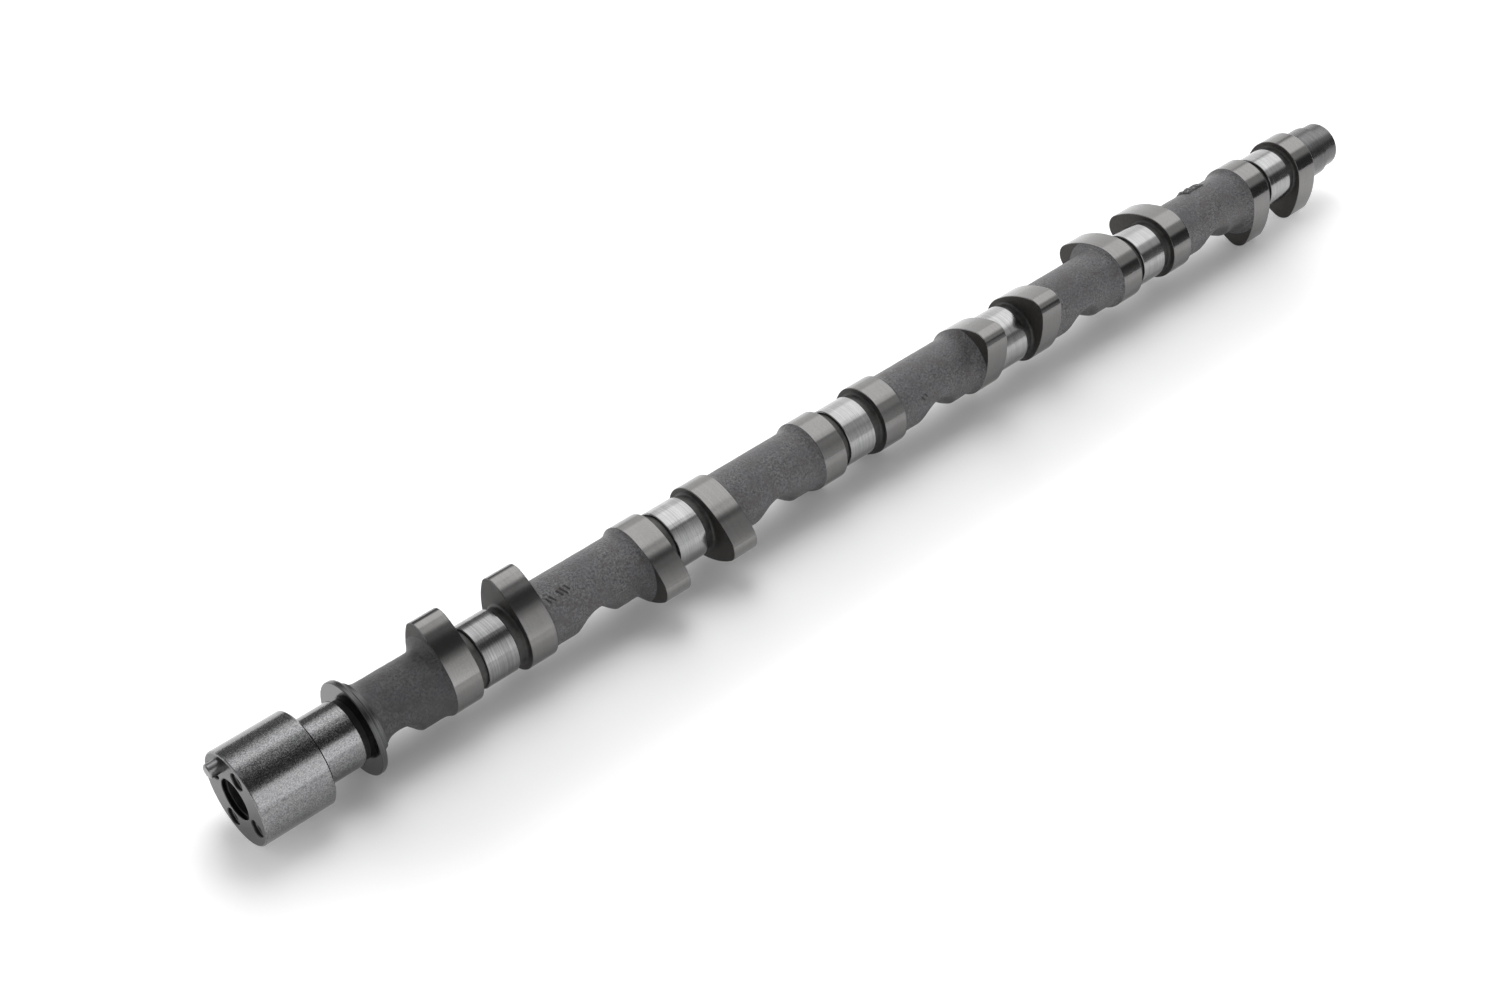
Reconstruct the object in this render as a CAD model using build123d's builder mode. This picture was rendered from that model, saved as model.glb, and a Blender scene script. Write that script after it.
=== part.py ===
from build123d import *
import os
from math import atan2, cos, radians, sin, tan

# Overhead camshaft of an in-line six, with a pair of lobes to each cylinder. It is cast in one piece
# and then turned and ground, and one dowel pin is pressed into its front face.
# The shaft lies along X. The origin is on its axis in the plane of the front face, and the rear end
# points to +X. +Z is up as the shaft lies on a flat floor, on its nose and on the lobes of
# cylinders three and six. Sizes are in millimetres and angles in degrees. An angle around the
# shaft is counted from +Y towards +Z.

# Nose, the ground drum that the front oil seal runs on, with the timing gear bolted to its face
nose_radius = 20.4
nose_length = 31.3
nose_chamfer = 0.6

# Front face: the gear's pilot recess, the centre bore and the tapped holes
pilot_radius = 9.0
pilot_depth = 1.9
bore_radius = 8.2
bore_depth = 38.0
bolt_circle_radius = 14.5
bolt_count = 4
bolt_hole_radius = 3.4
bolt_hole_depth = 17.0
drill_half_angle = 59.0
drill_tip_share = 0.12

# Dowel pin that sets the gear's angle, with a shank that is a little larger than its free end
pin_radius = 3.0
pin_shank_step = 0.2
pin_circle_radius = 15.4
pin_stand_out = 5.4
pin_engagement = 12.0
pin_chamfer = 0.5
pin_hole_spare = 1.0

# Front bearing journal, grinding relief and thrust flange
front_journal_radius = 14.2
front_journal_length = 18.0
relief_depth = 1.2
relief_width = 2.7
flange_radius = 20.5
flange_thickness = 2.8
flange_chamfer = 0.35
flange_back_chamfer = 0.8
shoulder_height = 1.3
shoulder_land = 1.5
shoulder_length = 5.2

# Bearings two to seven, one in the middle of each cylinder
cylinder_count = 6
cylinder_pitch = 99.5
first_cylinder = 115.75
journal_radius = 14.0
journal_width = 15.3
journal_chamfer = 0.4
neck_depth = 1.1
neck_flare = 1.0

# Cam lobes, a pair to each cylinder, all with one outline
lobe_width = 12.8
lobe_spacing = 37.1
base_radius = 16.2
lobe_lift = 9.5
lobe_nose_radius = 7.2
lobe_flank_radius = 40.0
first_lobe_angle = 66.0
firing_order = [1, 5, 3, 6, 2, 4]
firing_step = 60.0

# Rough cast shaft between the pairs of lobes, scalloped to clear the cylinder head bolts
cast_step = 1.9
front_cast_step = 1.4
cast_flare_step = 0.3
front_flare_run = 2.4
rear_flare_run = 3.2
scallop_radius = 12.0
scallop_floor = 7.2
scallop_angle = -124.0
scallop_ahead_of_journal = 50.5

# Low pad that the foundry's mould left on the rough shaft between cylinders five and six
pad_length = 12.5
pad_width = 5.0
pad_height = 1.1
pad_angle = 43.0
pad_ahead_of_journal = 46.4

# Rear end
rear_collar_radius = 13.0
rear_collar_length = 15.6
rear_collar_chamfer = 0.5
rear_stub_radius = 11.6
rear_stub_length = 10.2
rear_stub_chamfer = 1.0

# Places along the shaft that follow from these sizes
cast_radius = base_radius - cast_step
front_cast_radius = base_radius - front_cast_step
flare_radius = base_radius - cast_flare_step
neck_radius = journal_radius - neck_depth
front_journal_end = nose_length + front_journal_length
flange_front = front_journal_end + relief_width
flange_back = flange_front + flange_thickness
cylinder_places = [first_cylinder + n * cylinder_pitch for n in range(cylinder_count)]
half_pair = lobe_spacing / 2
outer_reach = half_pair + lobe_width / 2
inner_reach = half_pair - lobe_width / 2
rear_stub_front = cylinder_places[-1] + outer_reach + rear_collar_length
overall_length = rear_stub_front + rear_stub_length
bolt_start_angle = first_lobe_angle + 180 / bolt_count


def polar_point(x, radius, angle):
    """A point at a radius and angle around the shaft, in the cross-section at x."""
    return (x, radius * cos(radians(angle)), radius * sin(radians(angle)))


def lobe_angle(cylinder):
    """The direction of a cylinder's lobe noses, from its turn in the firing order."""
    return first_lobe_angle - firing_order.index(cylinder) * firing_step


def flank_points():
    """Where a lobe's flank leaves the base circle, its middle, and where it meets the nose."""
    nose_centre = base_radius + lobe_lift - lobe_nose_radius
    to_base = lobe_flank_radius - base_radius
    to_nose = lobe_flank_radius - lobe_nose_radius
    centre_x = (to_base**2 - to_nose**2 + nose_centre**2) / (2 * nose_centre)
    centre_y = -((to_base**2 - centre_x**2) ** 0.5)
    start = atan2(-centre_y, -centre_x)
    end = atan2(-centre_y, nose_centre - centre_x)
    return [
        (centre_x + lobe_flank_radius * cos(turn), centre_y + lobe_flank_radius * sin(turn))
        for turn in (start, (start + end) / 2, end)
    ]


def below(point):
    """The same point on the other side of a lobe's centre line."""
    return (point[0], -point[1])


# One lobe, with its nose along the sketch's X, front face at zero
base_end, flank_middle, nose_end = flank_points()
with BuildPart() as lobe:
    with BuildSketch(Plane.XY):
        with BuildLine():
            ThreePointArc(base_end, (-base_radius, 0), below(base_end))
            ThreePointArc(below(base_end), below(flank_middle), below(nose_end))
            ThreePointArc(below(nose_end), (base_radius + lobe_lift, 0), nose_end)
            ThreePointArc(nose_end, flank_middle, base_end)
        make_face()
    extrude(amount=lobe_width)

# The casting: shaft, bearings, lobes, nose, flange and rear stub in one piece of iron
with BuildPart() as camshaft:
    # Rough shaft ahead of each pair of lobes, flared where it meets the iron at its ends
    for number, place in enumerate(cylinder_places):
        front = flange_back if number == 0 else place - cylinder_pitch + outer_reach
        rear = place - outer_reach
        radius = front_cast_radius if number == 0 else cast_radius
        with BuildSketch(Plane.XZ):
            with BuildLine():
                Polyline(
                    (front, 0),
                    (front, flare_radius),
                    (front + front_flare_run, radius),
                    (rear - rear_flare_run, radius),
                    (rear, flare_radius),
                    (rear, 0),
                    close=True,
                )
            make_face()
        revolve(axis=Axis.X)

    # Shoulder behind the thrust flange, which runs out in a flare onto the rough shaft
    shoulder_rear = flange_back + shoulder_length
    shoulder_radius = front_cast_radius + shoulder_height
    with BuildSketch(Plane.XZ):
        with BuildLine():
            Polyline(
                (flange_back, 0),
                (flange_back, shoulder_radius),
                (flange_back + shoulder_land, shoulder_radius),
                (shoulder_rear, front_cast_radius),
                (shoulder_rear, 0),
                close=True,
            )
        make_face()
    revolve(axis=Axis.X)

    # A scallop across each rough stretch, which lets a head bolt pass
    for place in cylinder_places:
        scallop_centre = polar_point(
            place - scallop_ahead_of_journal, scallop_floor + scallop_radius, scallop_angle
        )
        bolt_direction = (0, -sin(radians(scallop_angle)), cos(radians(scallop_angle)))
        with BuildSketch(Plane(origin=scallop_centre, x_dir=(1, 0, 0), z_dir=bolt_direction)):
            Circle(scallop_radius)
        extrude(amount=2 * nose_radius, both=True, mode=Mode.SUBTRACT)

    # The mould's pad, sunk a little into the rough shaft that carries it
    pad_top = polar_point(cylinder_places[-1] - pad_ahead_of_journal, cast_radius + pad_height, pad_angle)
    with Locations(Plane(origin=pad_top, x_dir=(1, 0, 0), z_dir=polar_point(0, 1, pad_angle))):
        Box(pad_length, pad_width, 3 * pad_height, align=(Align.CENTER, Align.CENTER, Align.MAX))

    # Ground journals two to seven, with a turned neck on each side up to the lobes
    for place in cylinder_places:
        front = place - inner_reach
        rear = place + inner_reach
        journal_front = place - journal_width / 2
        journal_rear = place + journal_width / 2
        with BuildSketch(Plane.XZ):
            with BuildLine():
                Polyline(
                    (front, 0),
                    (front, neck_radius + neck_flare),
                    (front + neck_flare, neck_radius),
                    (journal_front, neck_radius),
                    (journal_front, journal_radius - journal_chamfer),
                    (journal_front + journal_chamfer, journal_radius),
                    (journal_rear - journal_chamfer, journal_radius),
                    (journal_rear, journal_radius - journal_chamfer),
                    (journal_rear, neck_radius),
                    (rear - neck_flare, neck_radius),
                    (rear, neck_radius + neck_flare),
                    (rear, 0),
                    close=True,
                )
            make_face()
        revolve(axis=Axis.X)

    # Lobes, each pair turned to its cylinder's place in the firing order
    for number, place in enumerate(cylinder_places, start=1):
        for centre in (place - half_pair, place + half_pair):
            front_face = (centre - lobe_width / 2, 0, 0)
            nose_direction = polar_point(0, 1, lobe_angle(number))
            with Locations(Plane(origin=front_face, x_dir=nose_direction, z_dir=(1, 0, 0))):
                add(lobe.part)

    # Nose, front journal, grinding relief and thrust flange
    with BuildSketch(Plane.XZ):
        with BuildLine():
            Polyline(
                (0, 0),
                (0, nose_radius - nose_chamfer),
                (nose_chamfer, nose_radius),
                (nose_length - nose_chamfer, nose_radius),
                (nose_length, nose_radius - nose_chamfer),
                (nose_length, front_journal_radius),
                (front_journal_end, front_journal_radius),
                (front_journal_end, front_journal_radius - relief_depth),
                (flange_front, front_journal_radius - relief_depth),
                (flange_front, flange_radius - flange_chamfer),
                (flange_front + flange_chamfer, flange_radius),
                (flange_back - flange_back_chamfer, flange_radius),
                (flange_back, flange_radius - flange_back_chamfer),
                (flange_back, 0),
                close=True,
            )
        make_face()
    revolve(axis=Axis.X)

    # Rear collar and stub
    with BuildSketch(Plane.XZ):
        with BuildLine():
            Polyline(
                (cylinder_places[-1] + outer_reach, 0),
                (cylinder_places[-1] + outer_reach, rear_collar_radius),
                (rear_stub_front - rear_collar_chamfer, rear_collar_radius),
                (rear_stub_front, rear_collar_radius - rear_collar_chamfer),
                (rear_stub_front, rear_stub_radius),
                (overall_length - rear_stub_chamfer, rear_stub_radius),
                (overall_length, rear_stub_radius - rear_stub_chamfer),
                (overall_length, 0),
                close=True,
            )
        make_face()
    revolve(axis=Axis.X)

    # Pilot recess and centre bore
    with BuildSketch(Plane.YZ):
        Circle(pilot_radius)
    extrude(amount=pilot_depth, mode=Mode.SUBTRACT)
    with BuildSketch(Plane.YZ):
        Circle(bore_radius)
    extrude(amount=bore_depth, mode=Mode.SUBTRACT)
    with BuildSketch(Plane.YZ.offset(bore_depth)):
        Circle(bore_radius)
    tip_reach = bore_radius * (1 - drill_tip_share) / tan(radians(drill_half_angle))
    extrude(amount=tip_reach, taper=drill_half_angle, mode=Mode.SUBTRACT)

    # Tapped holes for the gear's bolts, at their core size, with drilled bottoms
    with BuildSketch(Plane.YZ):
        with PolarLocations(bolt_circle_radius, bolt_count, bolt_start_angle):
            Circle(bolt_hole_radius)
    extrude(amount=bolt_hole_depth, mode=Mode.SUBTRACT)
    with BuildSketch(Plane.YZ.offset(bolt_hole_depth)):
        with PolarLocations(bolt_circle_radius, bolt_count, bolt_start_angle):
            Circle(bolt_hole_radius)
    tip_reach = bolt_hole_radius * (1 - drill_tip_share) / tan(radians(drill_half_angle))
    extrude(amount=tip_reach, taper=drill_half_angle, mode=Mode.SUBTRACT)

    # Reamed hole for the dowel pin
    with BuildSketch(Plane.YZ):
        with PolarLocations(pin_circle_radius, 1, first_lobe_angle):
            Circle(pin_radius + pin_shank_step)
    extrude(amount=pin_engagement + pin_hole_spare, mode=Mode.SUBTRACT)

# Dowel pin, ground steel. The shank is pressed in flush with the front face, and the gear slides
# on over the free end.
with BuildPart() as dowel_pin:
    with BuildSketch(Plane.YZ):
        with PolarLocations(pin_circle_radius, 1, first_lobe_angle):
            Circle(pin_radius + pin_shank_step)
    extrude(amount=pin_engagement)
    with BuildSketch(Plane.YZ):
        with PolarLocations(pin_circle_radius, 1, first_lobe_angle):
            Circle(pin_radius)
    extrude(amount=-pin_stand_out)
    pin_ends = dowel_pin.edges().filter_by(GeomType.CIRCLE).group_by(Axis.X)
    chamfer(pin_ends[0] + pin_ends[-1], pin_chamfer)

os.makedirs("parts", exist_ok=True)
camshaft.part.label = "camshaft"
export_step(camshaft.part, "parts/camshaft.step")
dowel_pin.part.label = "dowel_pin"
export_step(dowel_pin.part, "parts/dowel_pin.step")
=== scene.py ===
from math import atan2, cos, pi, radians, sin, sqrt, tan
import bmesh
import bpy
from mathutils import Matrix, Vector, noise


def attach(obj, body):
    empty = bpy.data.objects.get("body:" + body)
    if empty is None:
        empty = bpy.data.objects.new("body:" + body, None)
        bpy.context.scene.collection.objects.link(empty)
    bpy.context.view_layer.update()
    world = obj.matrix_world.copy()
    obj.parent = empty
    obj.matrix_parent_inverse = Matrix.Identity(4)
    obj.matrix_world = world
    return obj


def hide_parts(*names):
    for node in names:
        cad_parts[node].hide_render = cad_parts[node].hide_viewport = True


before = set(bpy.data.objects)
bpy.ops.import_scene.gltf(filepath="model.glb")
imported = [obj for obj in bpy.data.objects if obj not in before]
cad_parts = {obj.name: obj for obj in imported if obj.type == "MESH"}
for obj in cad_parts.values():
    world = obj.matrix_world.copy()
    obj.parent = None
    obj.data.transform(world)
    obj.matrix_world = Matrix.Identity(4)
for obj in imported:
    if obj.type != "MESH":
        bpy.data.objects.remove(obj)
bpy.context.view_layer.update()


# Camera, at the angle that the photograph was taken from: a long view from the nose end, from above
# the shaft's right side. Its place and turn were worked out from the shaft's own measures.
MM = 0.001
camera_data = bpy.data.cameras.new("camera")
camera_data.sensor_width = 36
camera_data.lens = 52.826
camera_data.clip_start = 0.05
camera = bpy.data.objects.new("camera", camera_data)
camera_place = Vector((-223.15, -543.54, 608.71)) * MM
camera_look = Vector((0.50668, 0.57079, -0.64612)).normalized()
camera_up = Vector((0.44830, 0.46572, 0.76297))
camera_side = camera_look.cross(camera_up).normalized()
camera_top = camera_side.cross(camera_look).normalized()
camera_turn = Matrix((camera_side, camera_top, -camera_look)).transposed()
camera.matrix_world = Matrix.Translation(camera_place) @ camera_turn.to_4x4()
bpy.context.scene.collection.objects.link(camera)
bpy.context.scene.camera = camera


# Nose and front journal: a plain drum with the gear's face on its front end, and the first bearing
# behind it. Cast iron, turned and ground, with a dark grainy phosphate finish. The walls of the drilled
# holes and the relief groove behind the journal are painted near black, as painted shade; the front
# face is painted darker than the drum, also as painted shade.
nose_radius = 20.4
nose_length = 31.3
nose_chamfer = 0.6
chamfer_bend = (0.24, 0.21)
journal_corner = 0.3
front_journal_chamfer = 0.25
relief_corner = 0.4
front_journal_radius = 14.2
front_journal_length = 18.0
front_journal_end = nose_length + front_journal_length
relief_radius = 13.0
relief_width = 2.7
flange_front = front_journal_end + relief_width
pilot_radius = 9.0
pilot_depth = 1.9
pilot_break = 0.25
bore_break = 0.2
bore_radius = 8.2
bore_depth = 38.0
bolt_circle_radius = 14.5
bolt_count = 4
bolt_angle = 111.0
bolt_hole_depth = 17.0
bolt_hole_break = 0.35
unthreaded_end = 2.0
thread_core = 3.4
thread_outer = 4.0
thread_wall = 3.8
pin_circle_radius = 15.4
pin_angle = 66.0
pin_hole_radius = 3.2
pin_hole_break = 0.2
pin_hole_depth = 13.0
drill_slope = tan(radians(59))
drill_tip = 0.05
large_hole_steps = 128
small_hole_steps = 48
smooth_to = 20


def noted(bm, name, materials, sharp=smooth_to):
    """Finishes a bmesh as a piece of the casting, smooth but for edges sharper than the angle."""
    mesh = bpy.data.meshes.new(name)
    bm.to_mesh(mesh)
    bm.free()
    for material in materials:
        mesh.materials.append(material)
    mesh.shade_smooth()
    mesh.set_sharp_from_angle(angle=radians(sharp))
    piece = bpy.data.objects.new(name, mesh)
    bpy.context.scene.collection.objects.link(piece)
    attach(piece, "root")
    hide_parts("camshaft")
    return piece


def turned(profile, steps=256):
    """Turns a chain of (x, radius) points about the shaft's axis."""
    bm = bmesh.new()
    verts = [bm.verts.new((x * MM, 0, radius * MM)) for x, radius in profile]
    edges = [bm.edges.new(pair) for pair in zip(verts, verts[1:])]
    bmesh.ops.spin(
        bm, geom=verts + edges, cent=(0, 0, 0), axis=(1, 0, 0), angle=2 * pi, steps=steps, use_merge=True
    )
    bmesh.ops.remove_doubles(bm, verts=bm.verts, dist=1e-7)
    bmesh.ops.recalc_face_normals(bm, faces=bm.faces)
    return bm


def sink(bm, loop, steps):
    """Takes a round edge loop on the front face down through (depth, radius, finish) steps."""
    middle = sum((v.co for v in {v for e in loop for v in e.verts}), Vector()) / len(loop)
    for depth, radius, finish in steps:
        new = bmesh.ops.extrude_edge_only(bm, edges=loop)["geom"]
        for face in (g for g in new if isinstance(g, bmesh.types.BMFace)):
            face.material_index = finish
        verts = {g for g in new if isinstance(g, bmesh.types.BMVert)}
        loop = [g for g in new if isinstance(g, bmesh.types.BMEdge) and all(v in verts for v in g.verts)]
        for vert in verts:
            arm = Vector((0, vert.co.y - middle.y, vert.co.z - middle.z)).normalized()
            vert.co = Vector((depth * MM, middle.y, middle.z)) + arm * radius * MM
    for face in bmesh.ops.contextual_create(bm, geom=loop)["faces"]:
        face.material_index = finish


def effect(name, settings):
    """Starts a shader group on object coordinates, with named inputs and one output."""
    group = bpy.data.node_groups.new(name, "ShaderNodeTree")
    for label, value in settings:
        socket = group.interface.new_socket(label, in_out="INPUT", socket_type="NodeSocketFloat")
        socket.default_value = value
    group.interface.new_socket("Amount", in_out="OUTPUT", socket_type="NodeSocketFloat")
    start = group.nodes.new("NodeGroupInput")
    end = group.nodes.new("NodeGroupOutput")
    place = group.nodes.new("ShaderNodeTexCoord").outputs["Object"]
    return group, start.outputs, end.inputs["Amount"], place


def maths(tree, operation, *terms):
    """Adds one sum to a node tree and gives its result. Its terms are sockets or numbers."""
    node = tree.nodes.new("ShaderNodeMath")
    node.operation = operation
    for socket, term in zip(node.inputs, terms):
        if isinstance(term, (int, float)):
            socket.default_value = term
        else:
            tree.links.new(term, socket)
    return node.outputs[0]


def contrasted(tree, amount, contrast):
    """Spreads an amount about its middle value of a half."""
    spread = maths(tree, "MULTIPLY", maths(tree, "SUBTRACT", amount, 0.5), contrast)
    return maths(tree, "ADD", spread, 0.5)


# Grain: the fine crystals of a phosphate coat, or the marks of a mould's sand on iron
grain, start, end, place = effect("grain", [("Fineness", 1500), ("Roughening", 0.6), ("Contrast", 2.0)])
speck = grain.nodes.new("ShaderNodeTexNoise")
speck.inputs["Detail"].default_value = 4
grain.links.new(place, speck.inputs["Vector"])
grain.links.new(start["Fineness"], speck.inputs["Scale"])
grain.links.new(start["Roughening"], speck.inputs["Roughness"])
grain.links.new(contrasted(grain, speck.outputs["Fac"], start["Contrast"]), end)

# Rings: the fine lines that a lathe tool or a grinding wheel leaves round the shaft
rings, start, end, place = effect("rings", [("Fineness", 3000), ("Wander", 60), ("Contrast", 2.0)])
stretch = rings.nodes.new("ShaderNodeCombineXYZ")
for axis, source in (("X", "Fineness"), ("Y", "Wander"), ("Z", "Wander")):
    rings.links.new(start[source], stretch.inputs[axis])
pull = rings.nodes.new("ShaderNodeVectorMath")
pull.operation = "MULTIPLY"
rings.links.new(place, pull.inputs[0])
rings.links.new(stretch.outputs["Vector"], pull.inputs[1])
line = rings.nodes.new("ShaderNodeTexNoise")
line.inputs["Scale"].default_value = 1
line.inputs["Detail"].default_value = 3
rings.links.new(pull.outputs["Vector"], line.inputs["Vector"])
rings.links.new(contrasted(rings, line.outputs["Fac"], start["Contrast"]), end)

# Patches: soft clouds where a coat is thinner, oil has dried or the iron cooled unevenly
patches, start, end, place = effect("patches", [("Fineness", 90), ("Shift", 0.0), ("Contrast", 2.0)])
cloud = patches.nodes.new("ShaderNodeTexNoise")
cloud.noise_dimensions = "4D"
cloud.inputs["Detail"].default_value = 5
cloud.inputs["Roughness"].default_value = 0.62
patches.links.new(place, cloud.inputs["Vector"])
patches.links.new(start["Fineness"], cloud.inputs["Scale"])
patches.links.new(start["Shift"], cloud.inputs["W"])
patches.links.new(contrasted(patches, cloud.outputs["Fac"], start["Contrast"]), end)


def laid(tree, group, **settings):
    """Places a shader group in a material with its own values, and gives what it puts out."""
    node = tree.nodes.new("ShaderNodeGroup")
    node.node_tree = group
    for label, value in settings.items():
        node.inputs[label].default_value = value
    return node.outputs["Amount"]


def blended(tree, share, first, second):
    """Mixes two colours, each a socket or three numbers, by a share from 0 to 1."""
    node = tree.nodes.new("ShaderNodeMix")
    node.data_type = "RGBA"
    node.clamp_factor = True
    tree.links.new(share, node.inputs["Factor"])
    for socket, colour in ((node.inputs[6], first), (node.inputs[7], second)):
        if isinstance(colour, tuple):
            socket.default_value = (*colour, 1)
        else:
            tree.links.new(colour, socket)
    return node.outputs[2]


def ranged(tree, amount, low, high):
    """Turns an amount from 0 to 1 into a value between two others."""
    node = tree.nodes.new("ShaderNodeMapRange")
    tree.links.new(amount, node.inputs["Value"])
    node.inputs["To Min"].default_value = low
    node.inputs["To Max"].default_value = high
    return node.outputs["Result"]


def raised(tree, shader, *layers):
    """Stacks bumps on a shader, each an amount with its height in millimetres."""
    under = None
    for amount, height in layers:
        bump = tree.nodes.new("ShaderNodeBump")
        bump.inputs["Distance"].default_value = height * MM
        tree.links.new(amount, bump.inputs["Height"])
        if under:
            tree.links.new(under, bump.inputs["Normal"])
        under = bump.outputs["Normal"]
    tree.links.new(under, shader.inputs["Normal"])


def finish_of(name, metallic):
    """Starts a material, and gives it with its node tree and its shader."""
    material = bpy.data.materials.new(name)
    material.use_nodes = True
    shader = material.node_tree.nodes["Principled BSDF"]
    shader.inputs["Metallic"].default_value = metallic
    return material, material.node_tree, shader


phosphate, tree, shader = finish_of("phosphate", 1.0)
crystals = laid(tree, grain, Fineness=1600, Roughening=0.7, Contrast=4.0)
clouds = laid(tree, patches, Fineness=70, Contrast=1.6)
coat = blended(tree, crystals, (0.115, 0.115, 0.118), (0.33, 0.33, 0.335))
coat = blended(tree, ranged(tree, clouds, 0.0, 0.4), coat, (0.18, 0.18, 0.185))
tree.links.new(coat, shader.inputs["Base Color"])
tree.links.new(ranged(tree, crystals, 0.13, 0.24), shader.inputs["Roughness"])
raised(tree, shader, (crystals, 0.004))

# The front face's coat: the phosphate's grain, painted much darker than the drum as painted shade.
face_coat_painted_shade, tree, shader = finish_of("face_coat_painted_shade", 1.0)
crystals = laid(tree, grain, Fineness=1700, Roughening=0.6, Contrast=1.6)
clouds = laid(tree, patches, Fineness=60, Shift=2.0, Contrast=1.5)
coat = blended(tree, crystals, (0.055, 0.055, 0.057), (0.1, 0.1, 0.102))
coat = blended(tree, ranged(tree, clouds, 0.0, 0.5), coat, (0.07, 0.07, 0.072))
tree.links.new(coat, shader.inputs["Base Color"])
tree.links.new(ranged(tree, crystals, 0.25, 0.36), shader.inputs["Roughness"])
raised(tree, shader, (crystals, 0.002))

# Near-black iron on the hole walls and in the relief groove: painted shade of these recesses.
recess_painted_shade, tree, shader = finish_of("recess_painted_shade", 0.6)
shade_blotches = laid(tree, patches, Fineness=200, Shift=5.0, Contrast=2.0)
lines = laid(tree, rings, Fineness=3500, Wander=80, Contrast=1.5)
tree.links.new(blended(tree, shade_blotches, (0.02, 0.02, 0.021), (0.065, 0.065, 0.066)), shader.inputs["Base Color"])
tree.links.new(ranged(tree, shade_blotches, 0.45, 0.65), shader.inputs["Roughness"])
raised(tree, shader, (lines, 0.01))

bm = turned([
    (0, nose_radius - nose_chamfer),
    (chamfer_bend[0], nose_radius - chamfer_bend[1]),
    (nose_chamfer, nose_radius),
    (nose_length / 2, nose_radius),
    (nose_length - nose_chamfer, nose_radius),
    (nose_length, nose_radius - nose_chamfer),
    (nose_length, front_journal_radius + journal_corner),
    (nose_length + journal_corner, front_journal_radius),
    (front_journal_end - front_journal_chamfer, front_journal_radius),
    (front_journal_end, front_journal_radius - front_journal_chamfer),
    (front_journal_end, relief_radius + relief_corner),
    (front_journal_end + relief_corner, relief_radius),
    (flange_front, relief_radius),
    (flange_front, 0),
])
for face in bm.faces:
    if face.calc_center_median().x > (front_journal_end - 0.01) * MM:
        face.material_index = 2
face_edges = [e for e in bm.edges if e.is_boundary and all(abs(v.co.x) < 1e-6 for v in e.verts)]
hole_loops = []
bolt_mouth = thread_wall + bolt_hole_break
holes = [(0, 0, pilot_radius + pilot_break, large_hole_steps)]
for number in range(bolt_count):
    turn = radians(bolt_angle + number * 360 / bolt_count)
    holes.append((bolt_circle_radius, turn, bolt_mouth, small_hole_steps))
holes.append((pin_circle_radius, radians(pin_angle), pin_hole_radius + pin_hole_break, small_hole_steps))
for out, turn, radius, count in holes:
    centre = Matrix.Translation((0, out * cos(turn) * MM, out * sin(turn) * MM))
    ring = bmesh.ops.create_circle(
        bm, cap_ends=False, segments=count, radius=radius * MM,
        matrix=centre @ Matrix.Rotation(pi / 2, 4, "Y"),
    )["verts"]
    hole_loops.append([e for e in bm.edges if e.is_wire and e.verts[0] in set(ring)])
front_face = bmesh.ops.triangle_fill(
    bm, use_beauty=True, edges=face_edges + [e for loop in hole_loops for e in loop], normal=(-1, 0, 0)
)["geom"]
for face in (g for g in front_face if isinstance(g, bmesh.types.BMFace)):
    face.material_index = 1
sink(bm, hole_loops[0], [
    (pilot_break, pilot_radius, 1),
    (pilot_depth, pilot_radius, 1),
    (pilot_depth, bore_radius + bore_break, 1),
    (pilot_depth + bore_break, bore_radius, 2),
    (bore_depth, bore_radius, 2),
    (bore_depth + bore_radius / drill_slope, drill_tip, 2),
])
for loop in hole_loops[1:5]:
    sink(bm, loop, [
        (bolt_hole_break, thread_wall, 1),
        (bolt_hole_depth - unthreaded_end, thread_wall, 2),
        (bolt_hole_depth - unthreaded_end + thread_wall - thread_core, thread_core, 2),
        (bolt_hole_depth, thread_core, 2),
        (bolt_hole_depth + thread_core / drill_slope, drill_tip, 2),
    ])
sink(bm, hole_loops[5], [(pin_hole_break, pin_hole_radius, 2), (pin_hole_depth, pin_hole_radius, 2)])
bmesh.ops.recalc_face_normals(bm, faces=bm.faces)
noted(bm, "nose", [phosphate, face_coat_painted_shade, recess_painted_shade])


# Threads of the four tapped holes, M8, which take the gear's screws. They are cut in the iron, and each
# is a ridge that winds down the hole's wall.
thread_start = 0.55
thread_flank = 0.53
thread_crest = 0.18
thread_pitch = 1.25
thread_turns = 11
thread_steps = 28
thread_root = thread_outer - 0.15
thread_top = thread_core + 0.02
# The threads are darker than bare cut iron: the iron's own grey with painted shade of the hole.
tapped_iron_and_painted_shade, tree, shader = finish_of("tapped_iron_and_painted_shade", 0.9)
shade_blotches = laid(tree, patches, Fineness=400, Shift=8.0, Contrast=2.0)
tree.links.new(blended(tree, shade_blotches, (0.09, 0.09, 0.09), (0.2, 0.2, 0.2)), shader.inputs["Base Color"])
tree.links.new(ranged(tree, shade_blotches, 0.3, 0.5), shader.inputs["Roughness"])
bm = bmesh.new()
for number in range(bolt_count):
    turn = radians(bolt_angle + number * 360 / bolt_count)
    y, z = bolt_circle_radius * cos(turn), bolt_circle_radius * sin(turn)
    section = [
        (thread_start, thread_root),
        (thread_start + thread_flank, thread_top),
        (thread_start + thread_flank + thread_crest, thread_top),
        (thread_start + 2 * thread_flank + thread_crest, thread_root),
    ]
    face = bm.faces.new([bm.verts.new((x * MM, y * MM, (z + radius) * MM)) for x, radius in section])
    bmesh.ops.spin(
        bm, geom=[face], cent=(0, y * MM, z * MM), axis=(1, 0, 0),
        dvec=(thread_pitch * MM / thread_steps, 0, 0), angle=2 * pi * thread_turns,
        steps=thread_turns * thread_steps, use_merge=False, use_duplicate=False,
    )
bmesh.ops.recalc_face_normals(bm, faces=bm.faces)
noted(bm, "bolt_threads", [tapped_iron_and_painted_shade])


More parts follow.
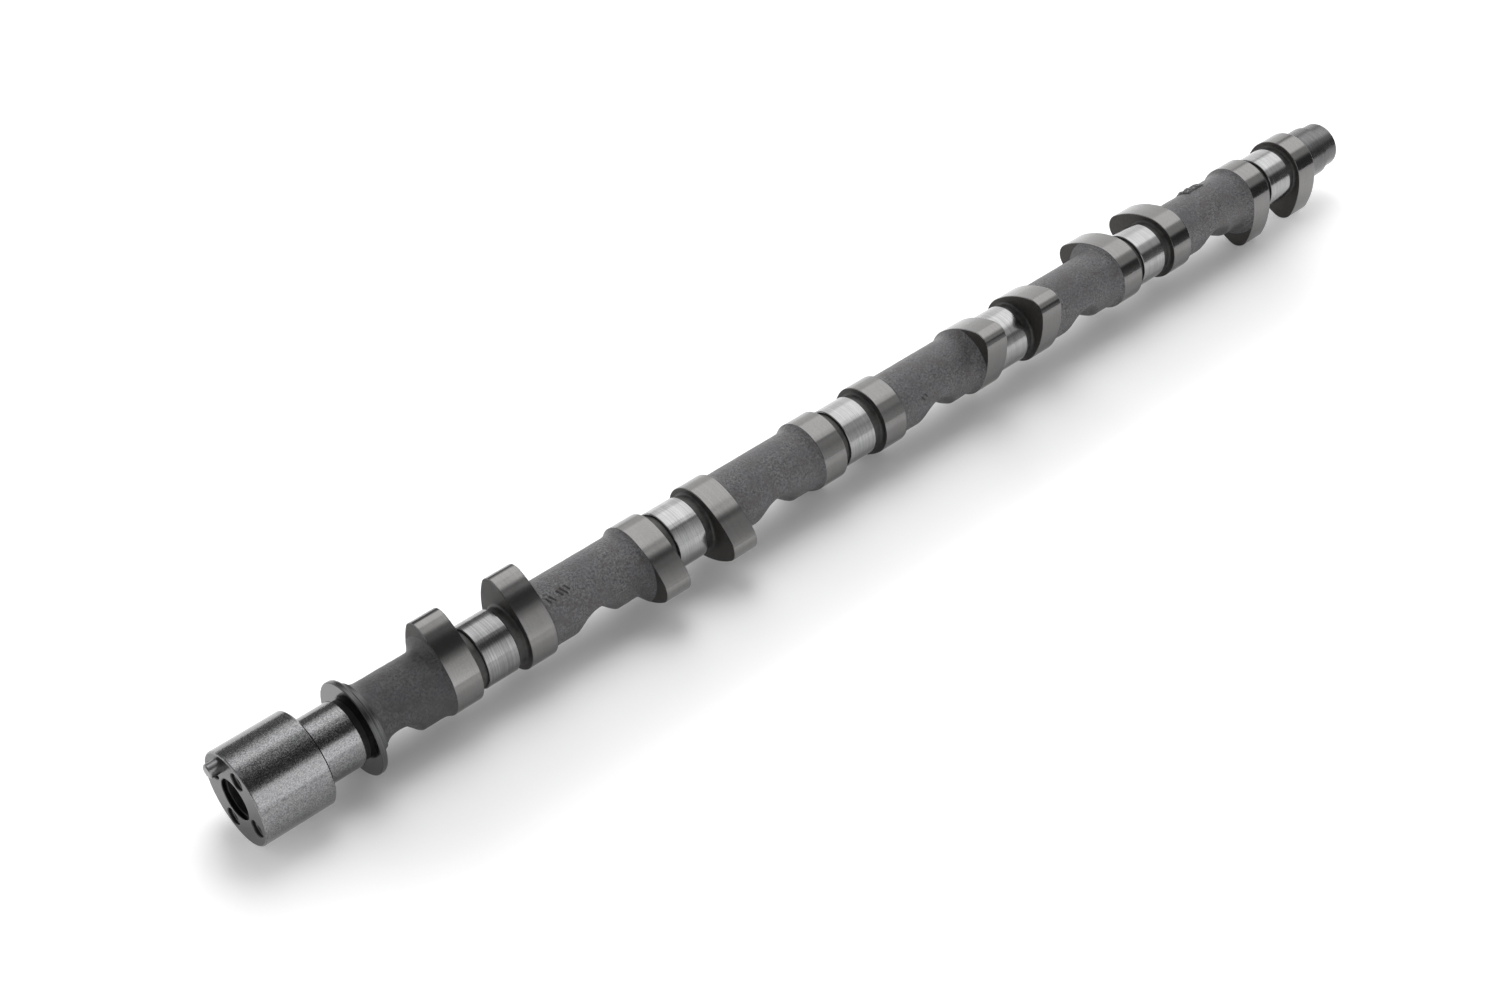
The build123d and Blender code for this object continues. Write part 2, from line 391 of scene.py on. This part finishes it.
# Dowel pin, a ground steel pin pressed into the front face. Its free end stands out and sets the
# gear's angle.
pin_steel, tree, shader = finish_of("pin_steel", 1.0)
lines = laid(tree, rings, Fineness=5000, Wander=300, Contrast=1.5)
dull = laid(tree, patches, Fineness=300, Shift=3.0, Contrast=1.8)
ground = blended(tree, lines, (0.22, 0.22, 0.225), (0.36, 0.36, 0.365))
ground = blended(tree, ranged(tree, dull, 0.0, 0.6), ground, (0.18, 0.18, 0.185))
tree.links.new(ground, shader.inputs["Base Color"])
tree.links.new(ranged(tree, dull, 0.26, 0.4), shader.inputs["Roughness"])
raised(tree, shader, (lines, 0.004))
for slot_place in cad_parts["dowel_pin"].material_slots:
    slot_place.material = pin_steel


# Thrust flange, which holds the shaft endways in its front bearing. It is part of the casting, faced
# smooth on the front and turned on its rim.
flange_thickness = 2.8
flange_back = flange_front + flange_thickness
flange_radius = 20.5
flange_face_inner = 12.0
flange_chamfer = 0.35
flange_round = 0.8
flange_round_middle = 0.25
faced_iron, tree, shader = finish_of("faced_iron", 1.0)
crystals = laid(tree, grain, Fineness=1600, Roughening=0.6, Contrast=1.6)
tree.links.new(blended(tree, crystals, (0.10, 0.10, 0.102), (0.16, 0.16, 0.162)), shader.inputs["Base Color"])
tree.links.new(ranged(tree, crystals, 0.14, 0.2), shader.inputs["Roughness"])
rim_iron, tree, shader = finish_of("rim_iron", 1.0)
lines = laid(tree, rings, Fineness=2500, Wander=50, Contrast=2.0)
clouds = laid(tree, patches, Fineness=120, Shift=4.0, Contrast=2.0)
coat = blended(tree, lines, (0.065, 0.065, 0.067), (0.125, 0.125, 0.128))
coat = blended(tree, ranged(tree, clouds, 0.0, 0.5), coat, (0.08, 0.08, 0.08))
tree.links.new(coat, shader.inputs["Base Color"])
tree.links.new(ranged(tree, lines, 0.24, 0.34), shader.inputs["Roughness"])
raised(tree, shader, (lines, 0.006))
bm = turned([
    (flange_front, 0),
    (flange_front, flange_face_inner),
    (flange_front, flange_radius - flange_chamfer),
    (flange_front + flange_chamfer, flange_radius),
    (flange_back - flange_round, flange_radius),
    (flange_back - flange_round_middle, flange_radius - flange_round_middle),
    (flange_back, flange_radius - flange_round),
    (flange_back, 0),
])
for face in bm.faces:
    if face.calc_center_median().x > (flange_front + 0.1) * MM:
        face.material_index = 1
noted(bm, "thrust_flange", [faced_iron, rim_iron])


# Lobes, a pair to each cylinder, all with one outline: base circle, flank arcs and nose arc. The
# outline is ground satin, and the sides are dark as cast and roughly faced.
cylinder_count = 6
first_place = 115.75
pitch = 99.5
base_radius = 16.18
lobe_lift = 9.5
lobe_nose_radius = 7.2
lobe_flank_radius = 40.0
lobe_width = 12.8
lobe_break = 0.22
lobe_spacing = 37.1
first_lobe_angle = 66.0
firing_order = [1, 5, 3, 6, 2, 4]
base_steps = 52
flank_steps = 30
nose_steps = 22
nose_centre = base_radius + lobe_lift - lobe_nose_radius
to_base = lobe_flank_radius - base_radius
to_nose = lobe_flank_radius - lobe_nose_radius
flank_along = (to_base**2 - to_nose**2 + nose_centre**2) / (2 * nose_centre)
flank_across = -sqrt(to_base**2 - flank_along**2)
flank_start = atan2(-flank_across, -flank_along)
flank_end = atan2(-flank_across, nose_centre - flank_along)

ground_lobe, tree, shader = finish_of("ground_lobe", 1.0)
crystals = laid(tree, grain, Fineness=1300, Roughening=0.7, Contrast=1.8)
clouds = laid(tree, patches, Fineness=110, Shift=1.0, Contrast=1.6)
lines = laid(tree, rings, Fineness=1800, Wander=25, Contrast=2.0)
coat = blended(tree, crystals, (0.155, 0.152, 0.15), (0.21, 0.207, 0.204))
coat = blended(tree, ranged(tree, lines, 0.0, 0.35), coat, (0.25, 0.248, 0.246))
coat = blended(tree, ranged(tree, clouds, 0.0, 0.4), coat, (0.165, 0.16, 0.157))
tree.links.new(coat, shader.inputs["Base Color"])
tree.links.new(ranged(tree, clouds, 0.12, 0.17), shader.inputs["Roughness"])
raised(tree, shader, (lines, 0.001), (crystals, 0.0015))

lobe_side, tree, shader = finish_of("lobe_side", 0.5)
sand = laid(tree, grain, Fineness=900, Roughening=0.75, Contrast=2.6)
clouds = laid(tree, patches, Fineness=160, Shift=6.0, Contrast=2.6)
skin = blended(tree, sand, (0.03, 0.029, 0.028), (0.09, 0.087, 0.083))
skin = blended(tree, ranged(tree, clouds, 0.0, 0.8), skin, (0.05, 0.046, 0.043))
tree.links.new(skin, shader.inputs["Base Color"])
tree.links.new(ranged(tree, sand, 0.42, 0.62), shader.inputs["Roughness"])
raised(tree, shader, (sand, 0.05))


def arc(bm, vert, centre, angle, steps):
    """Draws an arc of edges on from a point, about a centre in the lobe's plane, and gives its end."""
    spun = bmesh.ops.spin(
        bm, geom=[vert], cent=(0, centre[0] * MM, centre[1] * MM), axis=(1, 0, 0), angle=angle, steps=steps
    )
    return next(g for g in spun["geom_last"] if isinstance(g, bmesh.types.BMVert))


def lobe_turn(number):
    """The direction of a cylinder's lobe noses, as an angle from +Y towards +Z."""
    return radians(first_lobe_angle - 60 * firing_order.index(number + 1))


for number in range(cylinder_count):
    place = first_place + number * pitch
    pair = bmesh.new()
    for front in (place - lobe_spacing / 2 - lobe_width / 2, place + lobe_spacing / 2 - lobe_width / 2):
        bm = bmesh.new()
        vert = bm.verts.new((0, -base_radius * MM, 0))
        vert = arc(bm, vert, (0, 0), -(pi - flank_start), base_steps)
        vert = arc(bm, vert, (flank_along, flank_across), -(flank_start - flank_end), flank_steps)
        vert = arc(bm, vert, (nose_centre, 0), -flank_end, nose_steps)
        half = bm.verts[:] + bm.edges[:]
        bmesh.ops.mirror(bm, geom=half, matrix=Matrix.Identity(4), merge_dist=1e-6, axis="Z")
        bmesh.ops.remove_doubles(bm, verts=bm.verts, dist=1e-6)
        outline = bmesh.ops.contextual_create(bm, geom=bm.edges[:])["faces"]
        grown = bmesh.ops.extrude_face_region(bm, geom=outline)["geom"]
        bmesh.ops.translate(
            bm, vec=(lobe_width * MM, 0, 0), verts=[g for g in grown if isinstance(g, bmesh.types.BMVert)]
        )
        bmesh.ops.recalc_face_normals(bm, faces=bm.faces)
        rims = [e for e in bm.edges if abs(e.verts[0].co.x - e.verts[1].co.x) < 1e-7]
        bmesh.ops.bevel(
            bm, geom=rims, offset=lobe_break * MM, offset_type="OFFSET", segments=2, profile=0.5,
            affect="EDGES", material=-1,
        )
        for face in bm.faces:
            face.material_index = 1 if len(face.verts) > 8 else 0
        towards = Matrix.Rotation(lobe_turn(number), 3, "X")
        bmesh.ops.rotate(bm, cent=(0, 0, 0), matrix=towards, verts=bm.verts)
        bmesh.ops.translate(bm, vec=(front * MM, 0, 0), verts=bm.verts)
        single = bpy.data.meshes.new("lobe")
        bm.to_mesh(single)
        bm.free()
        pair.from_mesh(single)
        bpy.data.meshes.remove(single)
    noted(pair, f"lobes_{number + 1}", [ground_lobe, lobe_side])


# Rough shaft in six stretches, one ahead of each pair of lobes. Sand-cast iron, left as it came from
# the mould, flared at its ends and scalloped so that a head bolt can pass. The first starts in a
# short turned shoulder behind the flange, and the last carries a row of worn raised marks.
outer_reach = (lobe_spacing + lobe_width) / 2
cast_radius = 14.3
front_cast_radius = 14.8
shoulder_radius = 17.4
shoulder_land = 2.5
shoulder_flare_run = 5.0
shoulder_step = 0.5
flare_run = 5.4
flare_reach = 4.6
flare_gap = 0.06
flare_hollow = 2.1
flare_deepening = 0.3
short_flare = 1.5
scallop_radius = 12.0
scallop_floor = 7.2
scallop_angle = radians(-124)
scallop_ahead = 50.5
scallop_blend = 1.8
first_scallop_blend = 3.0
scallop_way = Vector((0, cos(scallop_angle), sin(scallop_angle)))
pad_place = 565.5
pad_length = 12.5
pad_width = 8.5
pad_height = 1.25
pad_angle = radians(56)
pad_lump = 4.2
pad_edge = 0.5
pad_base = 0.15
pad_top = 0.55
ring_steps = 192
ring_gap = 0.5
first_ring = 0.4
core_radius = 5.0
wave_size = 0.11
wave_height = 0.10
wave_fade = 1.5
lump_size = 0.55
lump_height = 0.05
lump_shift = Vector((7, 3, 1))
rough_sharp = 50

# Two copies of the rough iron: the darker one, for the first stretch, is partly its darker coat and partly
# painted shade; the other stretches take the lighter one.
rough_irons = []
for name, dark, light, cool, brown in (
    (
        "coated_and_shaded_rough_iron",
        (0.042, 0.042, 0.043), (0.15, 0.15, 0.153), (0.075, 0.075, 0.082), (0.075, 0.069, 0.063),
    ),
    (
        "rough_iron",
        (0.055, 0.054, 0.055), (0.27, 0.269, 0.274), (0.13, 0.13, 0.142), (0.125, 0.113, 0.103),
    ),
):
    rough_iron, tree, shader = finish_of(name, 0.55)
    sand = laid(tree, grain, Fineness=1050, Roughening=0.8, Contrast=3.8)
    lumps = laid(tree, grain, Fineness=420, Roughening=0.6, Contrast=2.2)
    clouds = laid(tree, patches, Fineness=75, Shift=2.0, Contrast=3.0)
    rust = laid(tree, patches, Fineness=190, Shift=9.0, Contrast=3.4)
    skin = blended(tree, ranged(tree, clouds, 0.0, 0.6), blended(tree, sand, dark, light), cool)
    skin = blended(tree, ranged(tree, rust, -0.45, 0.55), skin, brown)
    tree.links.new(skin, shader.inputs["Base Color"])
    tree.links.new(ranged(tree, sand, 0.36, 0.5), shader.inputs["Roughness"])
    raised(tree, shader, (lumps, 0.07), (sand, 0.13))
    rough_irons.append(rough_iron)

turned_iron, tree, shader = finish_of("turned_iron", 1.0)
lines = laid(tree, rings, Fineness=2800, Wander=60, Contrast=2.4)
tree.links.new(blended(tree, lines, (0.06, 0.06, 0.061), (0.15, 0.15, 0.152)), shader.inputs["Base Color"])
tree.links.new(ranged(tree, lines, 0.24, 0.4), shader.inputs["Roughness"])
raised(tree, shader, (lines, 0.01))

# Near-black iron for the nicks and for the hollows round the raised marks: painted shade.
hollow_painted_shade, tree, shader = finish_of("hollow_painted_shade", 0.2)
shade_blotches = laid(tree, patches, Fineness=500, Shift=14.0, Contrast=2.4)
tree.links.new(blended(tree, shade_blotches, (0.02, 0.02, 0.02), (0.07, 0.067, 0.064)), shader.inputs["Base Color"])
tree.links.new(ranged(tree, shade_blotches, 0.5, 0.7), shader.inputs["Roughness"])


def scallop(bm, centre, blend):
    """Sinks the round scallop for a head bolt into a stretch, with a soft cast edge."""
    for vert in bm.verts:
        run = abs(vert.co.x / MM - centre)
        reach = vert.co.dot(scallop_way) / MM
        if run < scallop_radius:
            floor = scallop_floor + scallop_radius - sqrt(scallop_radius**2 - run**2)
        else:
            floor = scallop_floor + scallop_radius + 3 * (run - scallop_radius)
        share = max(blend - abs(reach - floor), 0) / blend
        sunk = min(reach, floor) - share * share * blend / 4
        if sunk < reach:
            vert.co += scallop_way * (sunk - reach) * MM


def lobe_edge(turn):
    """How far a lobe's outline is from the axis, at an angle from its nose."""
    turn = abs((turn + pi) % (2 * pi) - pi)
    if turn > flank_start:
        return base_radius
    across = nose_centre * sin(turn)
    on_nose = nose_centre * cos(turn) + sqrt(max(lobe_nose_radius**2 - across**2, 0))
    from_nose = atan2(on_nose * sin(turn), on_nose * cos(turn) - nose_centre)
    if across < lobe_nose_radius and from_nose < flank_end:
        return on_nose
    aside = flank_along * sin(turn) - flank_across * cos(turn)
    return flank_along * cos(turn) + flank_across * sin(turn) + sqrt(lobe_flank_radius**2 - aside**2)


def flare(near, turn, radius):
    """How much the cast iron stands out at a distance from a lobe's side, round the lobe's outline."""
    if near > flare_run:
        return 0
    height = min(lobe_edge(turn) - flare_gap, radius + flare_reach) - radius
    return height * (1 - near / flare_run) ** (flare_hollow + flare_deepening * height)


def worn_marks(x, turn, where):
    """How much the worn raised marks stand out of the last stretch at a point."""
    along = pad_length / 2 - abs(x - pad_place)
    aside = pad_width / 2 - abs(turn - pad_angle) * cast_radius
    if along <= 0 or aside <= 0:
        return 0
    worn = min(max(1.3 * noise.noise(where * 0.8) + 0.75, 0.2), 1)
    lumps = abs(sin(pi * along / pad_lump)) * worn
    return pad_height * min(along / pad_edge, aside / pad_edge, 1) * (pad_base + (1 - pad_base) * lumps)


for number in range(cylinder_count):
    place = first_place + number * pitch
    rear = place - outer_reach
    if number == 0:
        front, radius = flange_back, front_cast_radius
        land_end = front + shoulder_land
        start = [(front, 0), (front, shoulder_radius), (land_end, shoulder_radius)]
    else:
        front, radius = place - pitch + outer_reach, cast_radius
        land_end = front
        start = [(front, 0), (front, radius)]
    run = rear - land_end - first_ring
    count = int(run / ring_gap)
    middle = [(land_end + first_ring + run * ring / count, radius) for ring in range(count + 1)]
    bm = turned([*start, *middle, (rear, 0)], ring_steps)
    for vert in bm.verts:
        arm = Vector((0, vert.co.y, vert.co.z))
        x = vert.co.x / MM
        if arm.length < core_radius * MM or (number == 0 and x < land_end + first_ring / 2):
            continue
        turn = atan2(arm.z, arm.y)
        rise = flare(rear - x, turn - lobe_turn(number), radius)
        if number == 0:
            share = max(1 - (x - land_end) / shoulder_flare_run, 0)
            rise = max(rise, (shoulder_radius - radius - shoulder_step) * share**2)
        else:
            rise = max(rise, flare((x - front) * short_flare, turn - lobe_turn(number - 1), radius))
        vert.co += arm.normalized() * rise * MM
    scallop(bm, place - scallop_ahead, first_scallop_blend if number == 0 else scallop_blend)
    for vert in bm.verts:
        arm = Vector((0, vert.co.y, vert.co.z))
        x = vert.co.x / MM
        if arm.length < core_radius * MM or (number == 0 and x < land_end + first_ring / 2):
            continue
        where = vert.co / MM
        wave = noise.fractal(where * wave_size, 1.0, 2.0, 2, noise_basis="PERLIN_ORIGINAL")
        lump = noise.fractal(where * lump_size + lump_shift, 1.0, 2.0, 3, noise_basis="PERLIN_ORIGINAL")
        lift = wave_height * wave * min((rear - x) / wave_fade, 1) + lump_height * lump
        if number == cylinder_count - 1:
            lift += worn_marks(x, atan2(arm.z, arm.y), where)
        vert.co += arm.normalized() * lift * MM
    bmesh.ops.recalc_face_normals(bm, faces=bm.faces)
    for face in bm.faces:
        middle = face.calc_center_median()
        arm = Vector((0, middle.y, middle.z))
        x = middle.x / MM
        on_pad = abs(x - pad_place) < pad_length / 2 and (
            abs(atan2(arm.z, arm.y) - pad_angle) * cast_radius < pad_width / 2
        )
        if number == 0 and x < land_end + 0.05:
            face.material_index = 1
        # The low faces round and between the raised marks take the near-black iron: painted shade.
        elif number == cylinder_count - 1 and on_pad and arm.length / MM < cast_radius + pad_top:
            face.material_index = 1
    irons = [rough_irons[min(number, 1)], turned_iron if number == 0 else hollow_painted_shade]
    noted(bm, f"rough_shaft_{number + 1}", irons, rough_sharp)


# Nicks in the rough iron, short strokes that a file or a chisel left behind the second lobe and
# behind the sixth. They are thin bars painted near black, which is painted shade of the cuts, and sit in the
# casting's skin.
nick_width = 0.6
nick_height = 0.7
nick_sink = 0.15
bm = bmesh.new()
for x, angle, length, lean in (
    (150.5, 117, 3.6, 24), (152.5, 117, 4.2, 26), (154.6, 115, 3.0, 22), (146.5, 119, 3.4, 28),
    (144.5, 119, 2.6, 20), (353.0, 156, 2.4, 35), (355.0, 153, 2.0, 30),
):
    cut = bmesh.ops.create_cube(bm, size=1)["verts"]
    bmesh.ops.scale(bm, vec=(nick_width * MM, length * MM, nick_height * MM), verts=cut)
    bmesh.ops.rotate(bm, cent=(0, 0, 0), matrix=Matrix.Rotation(radians(lean), 3, "Z"), verts=cut)
    bmesh.ops.translate(bm, vec=(x * MM, 0, (cast_radius - nick_sink) * MM), verts=cut)
    bmesh.ops.rotate(bm, cent=(0, 0, 0), matrix=Matrix.Rotation(radians(angle - 90), 3, "X"), verts=cut)
noted(bm, "nicks", [hollow_painted_shade])


# Bearings two to seven, one between the two lobes of each cylinder. Ground bright on the journal,
# with a turned neck on each side that runs up to the lobe in a small fillet.
journal_radius = 14.0
journal_half = 7.65
inner_reach = (lobe_spacing - lobe_width) / 2
neck_radius = 12.9
neck_fillet = 1.2
fillet_steps = 5
journal_chamfer = 0.4
journal_bend = (0.1, 0.22)

# Two copies of the ground steel: the darker one, for journal two, is painted shade; the other journals take
# the bright one.
ground_journals = []
for name, dark, light, dull, worn in (
    ("painted_shade_journal", (0.17, 0.17, 0.172), (0.31, 0.31, 0.313), (0.19, 0.19, 0.192), (0.18, 0.178, 0.175)),
    ("bright_journal", (0.28, 0.28, 0.283), (0.40, 0.40, 0.403), (0.27, 0.27, 0.273), (0.25, 0.248, 0.244)),
):
    ground_journal, tree, shader = finish_of(name, 1.0)
    lines = laid(tree, rings, Fineness=2600, Wander=35, Contrast=2.2)
    broad = laid(tree, rings, Fineness=420, Wander=30, Contrast=2.4)
    clouds = laid(tree, patches, Fineness=150, Shift=7.0, Contrast=2.2)
    polish = blended(tree, lines, dark, light)
    polish = blended(tree, ranged(tree, broad, 0.0, 0.35), polish, dull)
    polish = blended(tree, ranged(tree, clouds, -0.2, 0.35), polish, worn)
    tree.links.new(polish, shader.inputs["Base Color"])
    tree.links.new(ranged(tree, clouds, 0.14, 0.2), shader.inputs["Roughness"])
    raised(tree, shader, (lines, 0.003), (broad, 0.003))
    ground_journals.append(ground_journal)

# The necks are painted near black: painted shade in the narrow gaps between the journals and the lobes.
neck_painted_shade, tree, shader = finish_of("neck_painted_shade", 0.5)
shade_blotches = laid(tree, patches, Fineness=260, Shift=11.0, Contrast=2.4)
lines = laid(tree, rings, Fineness=2200, Wander=70, Contrast=2.0)
tree.links.new(blended(tree, shade_blotches, (0.03, 0.03, 0.03), (0.085, 0.083, 0.08)), shader.inputs["Base Color"])
tree.links.new(ranged(tree, shade_blotches, 0.34, 0.55), shader.inputs["Roughness"])
raised(tree, shader, (lines, 0.012))

for number in range(cylinder_count):
    place = first_place + number * pitch
    fillet = [
        (-inner_reach + neck_fillet * (1 - cos(turn)), neck_radius + neck_fillet * (1 - sin(turn)))
        for turn in (pi / 2 * step / fillet_steps for step in range(fillet_steps + 1))
    ]
    front_half = [
        (-inner_reach, 0),
        *fillet,
        (-journal_half, neck_radius),
        (-journal_half, journal_radius - journal_chamfer),
        (-journal_half + journal_bend[0], journal_radius - journal_bend[1]),
        (-journal_half + journal_chamfer, journal_radius),
    ]
    chain = front_half + [(0, journal_radius)] + [(-x, radius) for x, radius in reversed(front_half)]
    bm = turned([(place + x, radius) for x, radius in chain])
    for face in bm.faces:
        if abs(face.calc_center_median().x / MM - place) > journal_half - 0.001:
            face.material_index = 1
    noted(bm, f"journal_{number + 2}", [ground_journals[min(number, 1)], neck_painted_shade])


# Rear end: a turned collar behind the last lobe and a smaller stub. Turned iron with an oil-dark
# finish.
rear_front = first_place + (cylinder_count - 1) * pitch + outer_reach
rear_collar_radius = 13.0
rear_collar_length = 15.6
rear_stub_front = rear_front + rear_collar_length
rear_stub_radius = 11.6
rear_stub_length = 10.2
rear_end = rear_stub_front + rear_stub_length
collar_chamfer = 0.5
stub_corner = 0.2
stub_chamfer = 1.0
stub_centre = 3.0
rear_iron, tree, shader = finish_of("rear_iron", 1.0)
lines = laid(tree, rings, Fineness=2600, Wander=50, Contrast=2.2)
clouds = laid(tree, patches, Fineness=120, Shift=12.0, Contrast=2.4)
coat = blended(tree, lines, (0.105, 0.105, 0.108), (0.18, 0.18, 0.183))
coat = blended(tree, ranged(tree, clouds, 0.0, 0.6), coat, (0.1, 0.1, 0.102))
tree.links.new(coat, shader.inputs["Base Color"])
tree.links.new(ranged(tree, clouds, 0.2, 0.32), shader.inputs["Roughness"])
raised(tree, shader, (lines, 0.005))
bm = turned([
    (rear_front, 0),
    (rear_front, rear_collar_radius + collar_chamfer),
    (rear_front + collar_chamfer, rear_collar_radius),
    (rear_stub_front - collar_chamfer, rear_collar_radius),
    (rear_stub_front, rear_collar_radius - collar_chamfer),
    (rear_stub_front, rear_stub_radius + stub_corner),
    (rear_stub_front + stub_corner, rear_stub_radius),
    (rear_end - stub_chamfer, rear_stub_radius),
    (rear_end, rear_stub_radius - stub_chamfer),
    (rear_end, stub_centre),
    (rear_end, 0),
])
noted(bm, "rear_end", [rear_iron])


# Floor: plain white, tilted a little because the shaft lies on its nose drum and on two lobes of
# different reach. It glows white for the camera and in reflections further out, and keeps the shadow
# near the shaft, where the glow is held low in a rounded band shifted to the shaft's near side: painted
# shadow over the real one.
floor_rise = -0.0062
floor_size = 40.0
floor_height = -0.0204
shadow_middle = 0.31
shadow_half = 0.235
shadow_taper = 0.75
shadow_aside = -0.03
bm = bmesh.new()
bmesh.ops.create_grid(bm, x_segments=1, y_segments=1, size=floor_size / 2)
bmesh.ops.rotate(bm, cent=(0, 0, 0), matrix=Matrix.Rotation(-floor_rise, 3, "Y"), verts=bm.verts)
bmesh.ops.translate(bm, vec=(0, 0, floor_height), verts=bm.verts)
mesh = bpy.data.meshes.new("floor")
bm.to_mesh(mesh)
bm.free()
floor = bpy.data.objects.new("floor", mesh)
bpy.context.scene.collection.objects.link(floor)


def softened(tree, amount, first, last, low=0.0, high=1.0):
    """Goes softly from one value to another while an amount goes from its first to its last."""
    node = tree.nodes.new("ShaderNodeMapRange")
    node.interpolation_type = "SMOOTHSTEP"
    tree.links.new(amount, node.inputs["Value"])
    node.inputs["From Min"].default_value = first
    node.inputs["From Max"].default_value = last
    node.inputs["To Min"].default_value = low
    node.inputs["To Max"].default_value = high
    return node.outputs["Result"]


floor_paint = bpy.data.materials.new("floor_paint")
floor_paint.use_nodes = True
tree = floor_paint.node_tree
shader = tree.nodes["Principled BSDF"]
shader.inputs["Base Color"].default_value = (0.85, 0.85, 0.85, 1)
shader.inputs["Roughness"].default_value = 1.0
shader.inputs["Specular IOR Level"].default_value = 0.0
spot = tree.nodes.new("ShaderNodeTexCoord")
sides = tree.nodes.new("ShaderNodeSeparateXYZ")
tree.links.new(spot.outputs["Object"], sides.inputs["Vector"])
from_middle = maths(tree, "ABSOLUTE", maths(tree, "SUBTRACT", sides.outputs["X"], shadow_middle))
past_end = maths(tree, "MAXIMUM", maths(tree, "SUBTRACT", from_middle, shadow_half), 0.0)
past_end = maths(tree, "MULTIPLY", past_end, shadow_taper)
aside = maths(tree, "SUBTRACT", sides.outputs["Y"], shadow_aside)
past_end = maths(tree, "MULTIPLY", past_end, past_end)
away = maths(tree, "SQRT", maths(tree, "ADD", past_end, maths(tree, "MULTIPLY", aside, aside)))
near_glow = softened(tree, away, 0.02, 0.08, 0.08, 0.36)
far_glow = softened(tree, away, 0.4, 2.5, 0.0, 0.6)
strength = maths(tree, "ADD", near_glow, far_glow)
ray = tree.nodes.new("ShaderNodeLightPath")
seen = maths(tree, "MAXIMUM", ray.outputs["Is Camera Ray"], ray.outputs["Is Glossy Ray"])
seen = maths(tree, "MAXIMUM", seen, ray.outputs["Is Transmission Ray"])
glow = tree.nodes.new("ShaderNodeEmission")
both = tree.nodes.new("ShaderNodeAddShader")
tree.links.new(maths(tree, "MULTIPLY", seen, strength), glow.inputs["Strength"])
tree.links.new(shader.outputs["BSDF"], both.inputs[0])
tree.links.new(glow.outputs["Emission"], both.inputs[1])
tree.links.new(both.outputs["Shader"], tree.nodes["Material Output"].inputs["Surface"])
mesh.materials.append(floor_paint)


# Light: a broad soft box over the shaft's far side, and a studio of pale and dark cards around it,
# which give the ground iron its bands.
lamp = bpy.data.lights.new("ceiling_box", "AREA")
lamp.shape = "RECTANGLE"
lamp.size = 1.4
lamp.size_y = 0.75
lamp.energy = 10.5
ceiling_box = bpy.data.objects.new("ceiling_box", lamp)
ceiling_box.location = (0.55, 0.62, 0.98)
to_shaft = Vector((0.33, 0, 0)) - ceiling_box.location
ceiling_box.rotation_euler = to_shaft.to_track_quat("-Z", "X").to_euler()
ceiling_box.visible_camera = False
ceiling_box.visible_glossy = False
bpy.context.scene.collection.objects.link(ceiling_box)

world = bpy.data.worlds.new("studio")
bpy.context.scene.world = world
world.use_nodes = True
tree = world.node_tree
way = tree.nodes.new("ShaderNodeTexCoord")
parts = tree.nodes.new("ShaderNodeSeparateXYZ")
tree.links.new(way.outputs["Generated"], parts.inputs["Vector"])
bearing = maths(tree, "ARCTAN2", parts.outputs["Y"], parts.outputs["X"])
height = maths(tree, "ARCSINE", parts.outputs["Z"])


def edge(amount, middle, half, soft):
    """One at the middle of a span of directions and nothing past its soft ends, in degrees."""
    off = maths(tree, "ABSOLUTE", maths(tree, "SUBTRACT", amount, radians(middle)))
    return softened(tree, off, radians(half + soft), radians(half - soft))


def card(under, bearing_at, bearing_half, height_at, height_half, soft, brightness):
    """Stands a soft-edged card of a brightness in the studio, over what is already there."""
    across = edge(bearing, bearing_at, bearing_half, soft)
    share = maths(tree, "MULTIPLY", across, edge(height, height_at, height_half, soft))
    node = tree.nodes.new("ShaderNodeMix")
    tree.links.new(share, node.inputs["Factor"])
    if isinstance(under, float):
        node.inputs[2].default_value = under
    else:
        tree.links.new(under, node.inputs[2])
    node.inputs[3].default_value = brightness
    return node.outputs[0]


# Cards, each with its bearing and half width, its height and half height, and its soft edge, all in
# degrees, and with its brightness. A later one stands in front of the earlier ones.
studio = 0.22
for bearing_at, bearing_half, height_at, height_half, soft, brightness in (
    (0, 200, 0, 8, 4, 0.9),
    (168, 40, 50, 16, 5, 0.6),
    (128, 12, 14, 18, 4, 1.0),
    (-128, 10, 14, 18, 4, 0.9),
    (50, 14, 14, 22, 3, 1.35),
    (71, 7, 0, 16, 3, 0.25),
    (-55, 7, 20, 24, 4, 0.55),
    (-63, 6, 18, 20, 4, 1.0),
    (-58, 20, 58, 14, 4, 0.08),
    (-34, 15, 38, 10, 4, 0.68),
    (-42, 7, 10, 17, 3, 0.06),
    (-72, 5, 18, 20, 3, 2.3),
    (-24, 9, 53, 7, 4, 1.7),
    (25, 42, 50, 19, 4, 2.0),
):
    studio = card(studio, bearing_at, bearing_half, height_at, height_half, soft, brightness)
tree.links.new(studio, tree.nodes["Background"].inputs["Strength"])
tree.nodes["Background"].inputs["Color"].default_value = (1, 1, 1, 1)
bpy.context.scene.view_settings.view_transform = "Standard"
